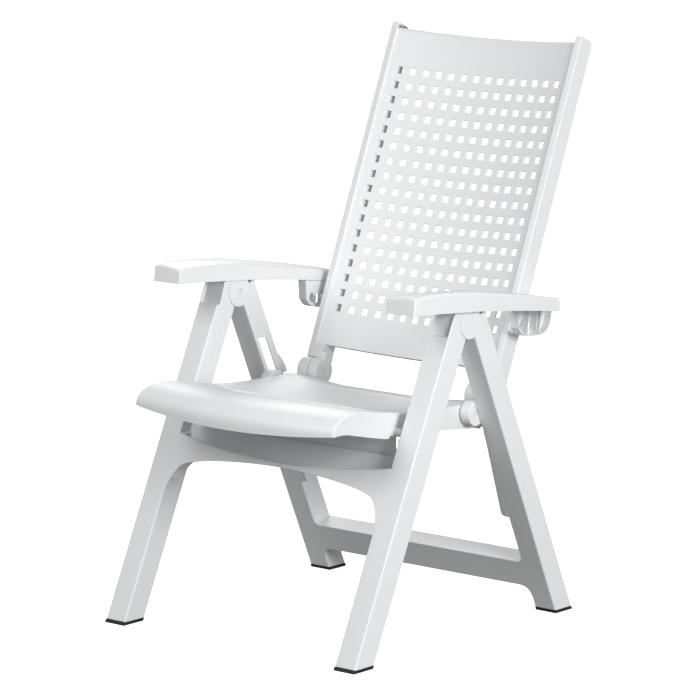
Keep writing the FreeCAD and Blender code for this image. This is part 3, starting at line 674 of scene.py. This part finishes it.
def seat_point(x_share, row):
    """A point of the seat's top; x_share runs from -1 to 1 across."""
    rim_y, rim_z, mid_y, mid_z, dish = row
    half = SEAT_HALF - RIM_ROLL - (SEAT_HALF - SEAT_REAR_HALF) * ease((rim_y - 186) / 14)
    x = x_share * half
    bow = x_share**2
    bowl = ease((abs(x) - DISH_FROM) / (DISH_TO - DISH_FROM))
    share = bow + (bowl - bow) * dish
    return x, mid_y + (rim_y - mid_y) * bow, mid_z + (rim_z - mid_z) * share


def seat_height(x, y):
    """Height of the seat's top over a floor point."""
    rows = seat_rows()
    line = [seat_point(x / SEAT_REAR_HALF, row)[1:] for row in rows if row[1] > 410 or row[0] > 200]
    return height_at([p for p in line if p[0] > 10], y)


def rim_inward(rows, i):
    """Direction in side view from the rim into the seat at a row."""
    before, after = rows[max(i - 1, 0)], rows[min(i + 1, len(rows) - 1)]
    run, rise = after[0] - before[0], after[1] - before[1]
    length = math.hypot(run, rise)
    return rise / length, -run / length


def seat_top():
    """The sheet of the seat with its rim rolled down over the skirts."""
    rows = seat_rows()
    across = [(math.sin(math.pi / 2 * k / 18), 0.0, 0.0) for k in range(19)]
    across += [(1.0, RIM_ROLL * math.sin(t), RIM_ROLL * (1 - math.cos(t)))
               for t in (math.pi / 2 * k / 6 for k in range(1, 7))]
    across.append((1.0, RIM_ROLL, RIM_ROLL + RIM_FLANGE))
    across = [(-share, -out, fall) for share, out, fall in across[:0:-1]] + across
    verts = []
    for i, row in enumerate(rows):
        inward_y, inward_z = rim_inward(rows, i)
        for share, out, fall in across:
            x, y, z = seat_point(share, row)
            verts.append(place(x + out, y + fall * inward_y, z + fall * inward_z))
    n = len(across)
    faces = [[r * n + k, r * n + k + 1, (r + 1) * n + k + 1, (r + 1) * n + k]
             for r in range(len(rows) - 1) for k in range(n - 1)]
    obj = solid(verts, faces)
    if obj.data.polygons[len(faces) // 2].normal.z < 0:
        obj.data.flip_normals()
    skin = obj.modifiers.new("skin", "SOLIDIFY")
    skin.thickness = SEAT_WALL * MM
    skin.offset = -1
    bake(obj)
    cut(obj, mirrored(lambda s: side_prism(circle(HINGE, 26.5, 64), *span(s, 181, 206.5))))
    return smooth_shade(obj, 50)


def seat_skirts():
    """Side walls under the rolled rim: a deep front part, a step inward and a lower rear part."""
    rows = smooth_line(RIM, 5)
    rim = []
    for i, (y, z) in enumerate(rows):
        inward_y, inward_z = rim_inward(rows, i)
        rim.append((y + RIM_ROLL * inward_y, z + RIM_ROLL * inward_z))
    out = []
    front = [point for point in rim if point[0] < 197]
    front += [(198, 436), (174, 395), (168, 395.5)]
    front += smooth_line([(120, 405.5), (80, 415), (60, 419.5), (44, 421)], 4)
    rear = [point for point in rim if 190 < point[0] < 470]
    rear += [(480, 409), (486, 400), (470, 378), (451, 370), (440, 373), (321, 386), (237, 387),
             (190, 397), (184, 400)]
    step = [(174, 395), (178, 395), (202, 436), (197, 436)]
    ear_root = [(469, 400), (493, 400), (517, 424), (469, 421)]
    for _, side in SIDES:
        out.append(side_prism(front[::-1], *span(side, SEAT_HALF - SEAT_WALL, SEAT_HALF - 0.2)))
        out.append(side_prism(rear[::-1], *span(side, SEAT_REAR_HALF - SEAT_WALL, SEAT_REAR_HALF - 0.2)))
        out.append(side_prism(step, *span(side, SEAT_REAR_HALF - SEAT_WALL, SEAT_HALF - 0.3)))
        out.append(side_prism(ear_root, *span(side, 207.6, 231.4)))
    return [smooth_shade(piece, 30) for piece in out]


def seat():
    top = seat_top()
    details = []
    for _, side in SIDES:
        ear = side_prism(circle(HINGE, KNUCKLE_RADIUS, 64), *span(side, *EAR))
        details.append(soften(ear, 2.2))
        rest = side_prism(circle(SEAT_REST, REST_RADIUS, 32), *span(side, SEAT_REAR_HALF - 1, LEG_IN - 8))
        details.append(soften(rest, 1.0))
        boss = side_prism(circle(LUG, 13, 40), *span(side, SEAT_REAR_HALF - 14, SEAT_REAR_HALF - 1))
        details.append(soften(boss, 1.0))
    rib = rectangle(*SEAT_CROSS_RIB)
    details.append(soften(side_prism(rib, -(SEAT_REAR_HALF - 1), SEAT_REAR_HALF - 1), 0.8))
    stations = [60 + 20 * k for k in range(21)]
    for x in SEAT_RIBS_ALONG:
        upper = [(y, seat_height(x, y) - SEAT_RIB_TOP) for y in stations]
        outline = [(y, z - 14) for y, z in upper] + upper[::-1]
        details.append(soften_thin(side_prism(outline, x - SEAT_RIB_HALF, x + SEAT_RIB_HALF)))
    spots = [-228 + 12 * k for k in range(39)]
    for y in SEAT_RIBS_ACROSS:
        upper = [(x, seat_height(x, y) - SEAT_RIB_TOP) for x in spots]
        outline = [(x, z - 12) for x, z in upper] + upper[::-1]
        details.append(soften_thin(across_prism(outline, y - SEAT_RIB_HALF, y + SEAT_RIB_HALF)))
    finish_piece("seat_shell_skin", [top] + seat_skirts() + details, WHITE, "seat",
                 ["seat_shell"])


# ---------------------------------------------------------------- back

BACK_HALF = 232.4
RAIL = 15.0
RAIL_FOOT = 35.0
RAIL_FRONT = -4.3
RAIL_REAR = 32.7
BACK_TOP = 709.0
PANEL_LOW = 53.5
PANEL_HIGH = 700.0
PANEL_SAG = 27.4
PANEL_RADIUS = 1000.0
PANEL_WALL = 4.0
HOLE = 14.0
HOLE_STEP = (29.8, 30.3)
HOLE_COUNT = (14, 17)
HOLE_FIRST = 129.3
ROLL = 8.0
RAIL_WALL = 4.0
RAIL_HOLLOW_LOW = 32.0
RAIL_CORNER = 11.0
KNUCKLE = (182.0, 206.0)
BACK_RIBS = [75 + k * 60 for k in range(11)]


def panel_front(u):
    """Front surface of the hollow panel behind the hinge line."""
    return RAIL_FRONT + PANEL_SAG - PANEL_RADIUS + math.sqrt(PANEL_RADIUS**2 - u * u)


def perforated_panel():
    """Grid of cells with the hole cells left open, given thickness and edges."""
    half = BACK_HALF - RAIL + 2
    columns, rows = HOLE_COUNT
    us, vs = [-half], [PANEL_LOW + 8]
    for c in range(columns):
        middle = (c - (columns - 1) / 2) * HOLE_STEP[0]
        us += [middle - HOLE / 2, middle + HOLE / 2]
    us.append(half)
    for r in range(rows):
        middle = HOLE_FIRST + r * HOLE_STEP[1]
        vs += [middle - HOLE / 2, middle + HOLE / 2]
    vs.append(PANEL_HIGH - ROLL)
    n, m = len(us), len(vs)
    verts = [back_place(u, panel_front(u) + depth, v)
             for depth in (0, PANEL_WALL) for v in vs for u in us]

    def solid_cell(i, j):
        return 0 <= i < n - 1 and 0 <= j < m - 1 and not (i % 2 == 1 and j % 2 == 1)

    faces = []
    back = n * m
    for j in range(m - 1):
        for i in range(n - 1):
            if not solid_cell(i, j):
                continue
            a, b, c, d = j * n + i, j * n + i + 1, (j + 1) * n + i + 1, (j + 1) * n + i
            faces += [[a, b, c, d], [d + back, c + back, b + back, a + back]]
            edges = (((a, b), (0, -1)), ((b, c), (1, 0)), ((c, d), (0, 1)), ((d, a), (-1, 0)))
            for (p, q), (di, dj) in edges:
                if not solid_cell(i + di, j + dj):
                    faces.append([p, p + back, q + back, q])
    obj = solid(verts, faces)
    bevel = obj.modifiers.new("bevel", "BEVEL")
    bevel.limit_method = "ANGLE"
    bevel.angle_limit = math.radians(40)
    bevel.width = 0.9 * MM
    bevel.segments = 2
    bake(obj)
    return smooth_shade(obj)


def swept_lip(section):
    """A (w, v) section carried across the back along the panel's hollow."""
    half = BACK_HALF - RAIL + 2
    stations = [half * (k / 20) for k in range(-20, 21)]
    verts = [back_place(u, panel_front(u) + w, v) for u in stations for w, v in section]
    return smooth_shade(solid(verts, loft_faces(len(stations), len(section))), 40)


def back_rail(side):
    """One side rail: a channel open to the rear, with a wider foot below the panel."""
    inner = BACK_HALF - RAIL
    foot_low = BACK_HALF - RAIL_FOOT
    corner = arc((RAIL_REAR - RAIL_CORNER, BACK_TOP - RAIL_CORNER), RAIL_CORNER, 0, 90, 8)
    outline = [(RAIL_FRONT, 0), (20, 0), (RAIL_REAR, 18)] + corner + [(RAIL_FRONT, BACK_TOP)]
    rail = back_prism(outline, *span(side, inner, BACK_HALF))
    hollow = rectangle(0, RAIL_REAR + 5, RAIL_HOLLOW_LOW, BACK_TOP - 5)
    cut(rail, [back_prism(hollow, *span(side, inner - RAIL_WALL, BACK_HALF - RAIL_WALL))])
    panel_edge = panel_front(200)
    foot = back_prism([(RAIL_FRONT, 0), (20, 0), (RAIL_REAR, 18), (RAIL_REAR, PANEL_LOW + 14),
                       (panel_edge + 1.5, PANEL_LOW + 14), (panel_edge + 1.5, PANEL_LOW),
                       (RAIL_FRONT, PANEL_LOW)], *span(side, foot_low, inner + 0.1))
    pocket = rectangle(0, RAIL_REAR + 5, RAIL_HOLLOW_LOW, PANEL_LOW - 3)
    cut(foot, [back_prism(pocket, *span(side, foot_low + RAIL_WALL, inner + RAIL_WALL))])
    for piece in (rail, foot):
        cut(piece, [back_prism(circle((0, 0), 25.6, 64), *span(side, 206.5, BACK_HALF + 2))])

    def rule(middle, direction):
        across, behind, above = to_upright(middle)
        if abs(abs(across) - inner) < 0.5 and above < PANEL_LOW + 1:
            return 0.0
        if behind < RAIL_FRONT + 0.5 or above > BACK_TOP - 12:
            return 1.6
        return 0.5

    soften(rail, 1.6, rule)
    soften(foot, 1.6, rule)
    inner_wall = rectangle(panel_edge + 2.5, RAIL_REAR, PANEL_LOW + 14, PANEL_HIGH - 3)
    inner_wall = soften_thin(back_prism(inner_wall, *span(side, foot_low, foot_low + RAIL_WALL)), 0.6)
    knuckle = back_prism(circle((0, 0), KNUCKLE_RADIUS, 64), *span(side, *KNUCKLE))
    cut(knuckle, [back_prism(circle((0, 0), LOOSE_BORE, 32),
                             *span(side, KNUCKLE[0] - CUT_PAST, KNUCKLE[1] + CUT_PAST))])
    soften(knuckle, 2.2)
    web = [(RAIL_FRONT + 0.5, 1), (19, 1), (22, 30), (RAIL_FRONT + 0.5, 38)]
    web = soften(back_prism(web, *span(side, 186, foot_low + 2)), 1.5)
    pieces = [rail, foot, inner_wall, knuckle, web]
    for v in BACK_RIBS:
        rib = rectangle(4, RAIL_REAR - 5, v - RIB_HALF, v + RIB_HALF)
        pieces.append(soften_thin(back_prism(rib, *span(side, foot_low + 3.5, BACK_HALF - 3.5))))
    return pieces


def to_upright(middle):
    """Millimetre row-frame point to the upright back's (across, behind, above)."""
    y = middle.y - FEET_FRONT / MM - HINGE[0]
    z = middle.z - HINGE[1]
    w = y * math.cos(BACK_LEAN) - z * math.sin(BACK_LEAN)
    v = y * math.sin(BACK_LEAN) + z * math.cos(BACK_LEAN)
    return middle.x, w, v


def back():
    pieces = [perforated_panel()]
    top = PANEL_HIGH
    header = [(0, top - ROLL - 0.5), (0, top - ROLL)]
    header += [(ROLL * (1 - math.cos(t)), top - ROLL + ROLL * math.sin(t))
               for t in (math.pi / 2 * k / 8 for k in range(1, 9))]
    header += [(15, top), (15.5, top - 0.5), (15.5, top - 9), (12.5, top - 9), (12.5, top - PANEL_WALL),
               (ROLL, top - PANEL_WALL), (PANEL_WALL + 1, top - ROLL + 1), (PANEL_WALL, top - ROLL - 0.5)]
    pieces.append(swept_lip(header))
    low = PANEL_LOW
    footer = [(0, low + 9), (PANEL_WALL, low + 9), (PANEL_WALL, low + PANEL_WALL), (14, low + PANEL_WALL),
              (14, low), (1, low), (0.3, low + 0.3), (0, low + 1)]
    pieces.append(swept_lip(footer))
    for _, side in SIDES:
        pieces += back_rail(side)
    finish_piece("backrest_skin", pieces, WHITE, "back", ["backrest"])


# ---------------------------------------------------------------- armrests

ARM_TOP_LINE = ((155, 661), (185, 663.5), (217, 663), (270, 659.5), (339, 652), (406, 641), (499, 626),
                (586, 608), (629, 600))
ARM_LOW_LINE = ((155, 630), (229, 625), (352, 614), (464, 600.5), (586, 584), (629, 578))
ARM_FRONT = 155.0
ARM_REAR_OUTER = 586.0
ARM_REAR_INNER = 629.0
ARM_NOSE = 40.0  # length over which the front end leans
ARM_NOSE_LEAN = 0.15
ARM_NOSE_MIDDLE = 630.0
ARM_TAIL = 90.0  # length over which the rear end slants and sinks inward
ARM_TAIL_SINK = 6.5
ARM_RIBS = (180, 205, 400, 430, 460, 490)
ARM_CROWN_FALL = 5.0
ARM_EDGE = 6.0
ARM_WALL = 3.5


def arm_section(top, low, inset, fall):
    """Cross-section from the inner wall's foot over the crown to the outer wall's foot."""
    x_in, x_out = ARM_IN + inset, ARM_OUT - inset
    r = max(ARM_EDGE - inset, 1.5)
    points = [(x_in, low)]
    points += [(x, z) for x, z in arc((x_in + r, top - fall - r), r, 180, 100, 5)]
    steps = 7
    for k in range(1, steps):
        t = k / steps
        x = x_in + r + (x_out - x_in - 2 * r) * t
        points.append((x, top - fall * (1 - t) + 1.6 * math.sin(math.pi * t)))
    points += [(x, z) for x, z in arc((x_out - r, top - r), r, 80, 0, 5)]
    points.append((x_out, low))
    return points


def arm_solid(side, inset, drop):
    """The armrest's outer form, or its hollow when inset; drop carries the hollow out below."""
    stations = [ARM_FRONT + inset + k * 14.0 for k in range(31)]
    stations = [y for y in stations if y < ARM_REAR_OUTER - 8] + [ARM_REAR_OUTER]
    top_line = smooth_line(ARM_TOP_LINE, 4)
    verts = []
    for s, y in enumerate(stations):
        front_share = max(0.0, 1 - (y - stations[0]) / ARM_NOSE)
        rear_share = max(0.0, (y - stations[-1] + ARM_TAIL) / ARM_TAIL)
        section = arm_section(height_at(top_line, y) - inset, height_at(ARM_LOW_LINE, y) - drop, inset,
                              ARM_CROWN_FALL)
        for x, z in section:
            inward = (ARM_OUT - x) / (ARM_OUT - ARM_IN)
            shift = front_share * ((z - ARM_NOSE_MIDDLE) * ARM_NOSE_LEAN)
            back = rear_share * inward * (ARM_REAR_INNER - ARM_REAR_OUTER)
            sink = rear_share * inward * ARM_TAIL_SINK
            verts.append(place(side * x, y + shift + back - (inset if s == len(stations) - 1 else 0),
                               z - sink))
    return solid(verts, loft_faces(len(stations), len(section)))


def armrest(word, side):
    arm = arm_solid(side, 0, 0)
    cut(arm, [arm_solid(side, ARM_WALL, 25)])

    def rule(middle, direction):
        y = middle.y - FEET_FRONT / MM
        low = height_at(ARM_LOW_LINE, y)
        if y < ARM_FRONT + 16 and middle.z > low + 3:
            return 3.5
        return 1.0

    soften(arm, 3.5, rule, limit=36, segments=4)
    pieces = [arm]
    for low, high in ((ARM_IN + 1, LEG_IN - 0.5), (LEG_OUT + 0.5, ARM_OUT - 1)):
        boss = side_prism(circle(ARM_PIVOT, 11, 40), *span(side, low, high))
        pieces.append(soften(boss, 0.8))
    x_low, x_high = span(side, ARM_IN + ARM_WALL - 0.5, ARM_OUT - ARM_WALL + 0.5)
    for y in ARM_RIBS:
        top = height_at(ARM_TOP_LINE, y) - ARM_WALL - ARM_CROWN_FALL
        outline = rectangle(x_low, x_high, top - 14, top + 1)
        pieces.append(soften_thin(across_prism(outline, y - 1.2, y + 1.2)))
    finish_piece(f"armrest_{word}_skin", pieces, WHITE, f"arm_{word}",
                 [f"armrest_{word}"])


# ---------------------------------------------------------------- ratchet plates

PLATE = ((519, 592), (521, 555), (531, 543), (545, 537), (579, 533), (600, 535.5), (612, 543), (621, 558),
         (625, 578), (586, 583.5))
PLATE_WALL = 3.2
PLATE_DEPTH = 20.0
PLATE_MIDDLE = (572, 566)
PLATE_OPEN = 12.0  # how far the hollow is carried up past the plate's upper ends
PLATE_NOTCHES = [531 + 15 * k for k in range(5)]
PLATE_RIBS = (548, 574, 584)
PLATE_TAB = ((523, 585), (586, 578), (617, 574), (617, 590), (586, 596), (523, 603))


def ratchet_plate(word, side):
    outer = [PLATE[0]] + smooth_line(PLATE[1:9], 4) + [PLATE[9]]
    inner = []
    for y, z in outer:
        away = Vector((y - PLATE_MIDDLE[0], z - PLATE_MIDDLE[1]))
        inner.append((y - away.x / away.length * PLATE_WALL, z - away.y / away.length * PLATE_WALL))
    tray = side_prism(outer, *span(side, ARM_IN, ARM_IN + PLATE_DEPTH))
    for i in (0, -1, -2):
        inner[i] = (inner[i][0], inner[i][1] + PLATE_OPEN)
    cut(tray, [side_prism(inner, *span(side, ARM_IN + 4, ARM_IN + PLATE_DEPTH + 3))])
    track = []
    for y in PLATE_NOTCHES:
        track += [(y, 557), (y + 3, 565), (y + 10, 565), (y + 13, 557)]
    track += [(612, 557), (607, 547), (579, 542), (543, 545), (531, 551)]
    cut(tray, [side_prism(track, *span(side, ARM_IN - 2, ARM_IN + 6))])
    soften(tray, 0.8)
    pieces = [tray]
    for y in PLATE_RIBS:
        low = height_at(PLATE[2:8], y) + 2
        rib = [(y, low), (y + 2.4, low), (y + 8.4, 583), (y + 6, 583)]
        pieces.append(soften_thin(side_prism(rib, *span(side, ARM_IN + 2, ARM_IN + PLATE_DEPTH - 1))))
    tab = side_prism(PLATE_TAB, *span(side, ARM_IN + ARM_WALL, ARM_IN + ARM_WALL + 4))
    pieces.append(soften_thin(tab, 0.6))
    finish_piece(f"ratchet_plate_{word}_skin", pieces, WHITE, f"arm_{word}",
                 [f"ratchet_plate_{word}"])


# ---------------------------------------------------------------- foot pads

PAD_GROW = 0.6
GROOVE_COUNT = 4
GROOVE_WIDTH = 2.0


def foot_pads():
    for end, face, depth, body in (
        ("front", front_face, FRONT_DEPTH, "front_frame"), ("rear", rear_face, REAR_DEPTH, "rear_frame")
    ):
        for word, side in SIDES:
            outline = [(face(0) - PAD_GROW, 0), (face(0) + depth + PAD_GROW, 0),
                       (face(PAD) + depth + PAD_GROW, PAD), (face(PAD) - PAD_GROW, PAD)]
            pad = side_prism(outline, *span(side, LEG_IN - PAD_GROW, LEG_OUT + PAD_GROW))
            grooves = []
            for k in range(GROOVE_COUNT):
                y = face(0) + 8 + k * (depth - 18) / (GROOVE_COUNT - 1)
                groove = rectangle(y, y + GROOVE_WIDTH, -1, 1)
                grooves.append(side_prism(groove, *span(side, LEG_IN + 5, LEG_OUT - 5)))
            cut(pad, grooves)
            soften(pad, 1.2, lambda m, d: 0.4 if m.z < 1.2 else 1.2)
            finish_piece(f"{end}_foot_pad_{word}_skin", [pad], RUBBER, body,
                         [f"{end}_foot_pad_{word}"])


# ---------------------------------------------------------------- CAD nodes that stay

def paint_cad_nodes():
    """Pins, pegs and screws keep their CAD shape."""
    for name, node in frame["nodes"].items():
        if name.startswith(("leg_pivot", "arm_pivot", "seat_pivot", "back_hinge", "ratchet_peg",
                            "ratchet_screws")):
            node.data.materials.clear()
            node.data.materials.append(STEEL if name.startswith("ratchet_screws") else PIN)


# ---------------------------------------------------------------- studio

CAMERA_AZIMUTH = math.radians(40.147)
CAMERA_ELEVATION = math.radians(10.147)
CAMERA_ROLL = math.radians(-0.108)
CAMERA_PLACE = (4930.3, -5496.9, 1879.6)
CAMERA_LENS = 213.97
FLOOR_SIZE = 30.0
FLOOR_GLOW = 0.85
WORLD_ABOVE = 0.42
WORLD_BELOW = 0.16
LAMPS = (
    ("key_right", (3.2, -0.9, 1.5), (0, 0, 0.5), 1.2, 84),
    ("back_left", (-2.6, 2.6, 2.4), (0, 0, 0.5), 1.5, 30),
    ("front", (-0.6, -3.2, 2.6), (0, 0, 0.6), 1.5, 46),
)


def studio():
    scene = bpy.context.scene
    floor_mesh = bpy.data.meshes.new("floor")
    corners = rectangle(-FLOOR_SIZE, FLOOR_SIZE, -FLOOR_SIZE, FLOOR_SIZE)
    floor_mesh.from_pydata([(x, y, 0) for x, y in corners], [], [(0, 1, 2, 3)])
    floor = bpy.data.objects.new("floor", floor_mesh)
    scene.collection.objects.link(floor)
    paper = bpy.data.materials.new("studio_paper")
    paper.use_nodes = True
    shader = paper.node_tree.nodes["Principled BSDF"]
    shader.inputs["Base Color"].default_value = (0.9, 0.9, 0.9, 1)
    shader.inputs["Roughness"].default_value = 0.9
    shader.inputs["Specular IOR Level"].default_value = 0.1
    shader.inputs["Emission Color"].default_value = (1, 1, 1, 1)
    shader.inputs["Emission Strength"].default_value = FLOOR_GLOW
    floor_mesh.materials.append(paper)
    floor.visible_diffuse = False
    floor.visible_glossy = False
    world = bpy.data.worlds.new("studio")
    scene.world = world
    world.use_nodes = True
    nodes, links = world.node_tree.nodes, world.node_tree.links
    coords = nodes.new("ShaderNodeTexCoord")
    split = nodes.new("ShaderNodeSeparateXYZ")
    ramp = nodes.new("ShaderNodeMapRange")
    ramp.inputs["From Min"].default_value = -0.6
    ramp.inputs["From Max"].default_value = 0.3
    ramp.inputs["To Min"].default_value = WORLD_BELOW
    ramp.inputs["To Max"].default_value = WORLD_ABOVE
    links.new(coords.outputs["Generated"], split.inputs["Vector"])
    links.new(split.outputs["Z"], ramp.inputs["Value"])
    links.new(ramp.outputs["Result"], nodes["Background"].inputs["Strength"])
    nodes["Background"].inputs["Color"].default_value = (0.985, 0.99, 1, 1)
    for name, spot, aim, width, power in LAMPS:
        lamp = bpy.data.lights.new(name, "AREA")
        lamp.size = width
        lamp.energy = power
        obj = bpy.data.objects.new(name, lamp)
        obj.location = spot
        obj.rotation_mode = "QUATERNION"
        obj.rotation_quaternion = (Vector(aim) - Vector(spot)).to_track_quat("-Z", "Y")
        scene.collection.objects.link(obj)
    scene.view_settings.view_transform = "Standard"
    camera = bpy.data.cameras.new("camera")
    camera.lens = CAMERA_LENS
    camera.sensor_width = 36
    camera.clip_end = 100
    eye = bpy.data.objects.new("camera", camera)
    back = Vector((math.sin(CAMERA_AZIMUTH) * math.cos(CAMERA_ELEVATION),
                   -math.cos(CAMERA_AZIMUTH) * math.cos(CAMERA_ELEVATION), math.sin(CAMERA_ELEVATION)))
    eye.rotation_mode = "QUATERNION"
    eye.rotation_quaternion = (-back).to_track_quat("-Z", "Y") @ Matrix.Rotation(
        CAMERA_ROLL, 4, "Z").to_quaternion()
    eye.location = place(*CAMERA_PLACE)
    scene.collection.objects.link(eye)
    scene.camera = eye


front_legs()
rear_legs()
seat()
back()
for word, side in SIDES:
    armrest(word, side)
    ratchet_plate(word, side)
foot_pads()
paint_cad_nodes()
studio()
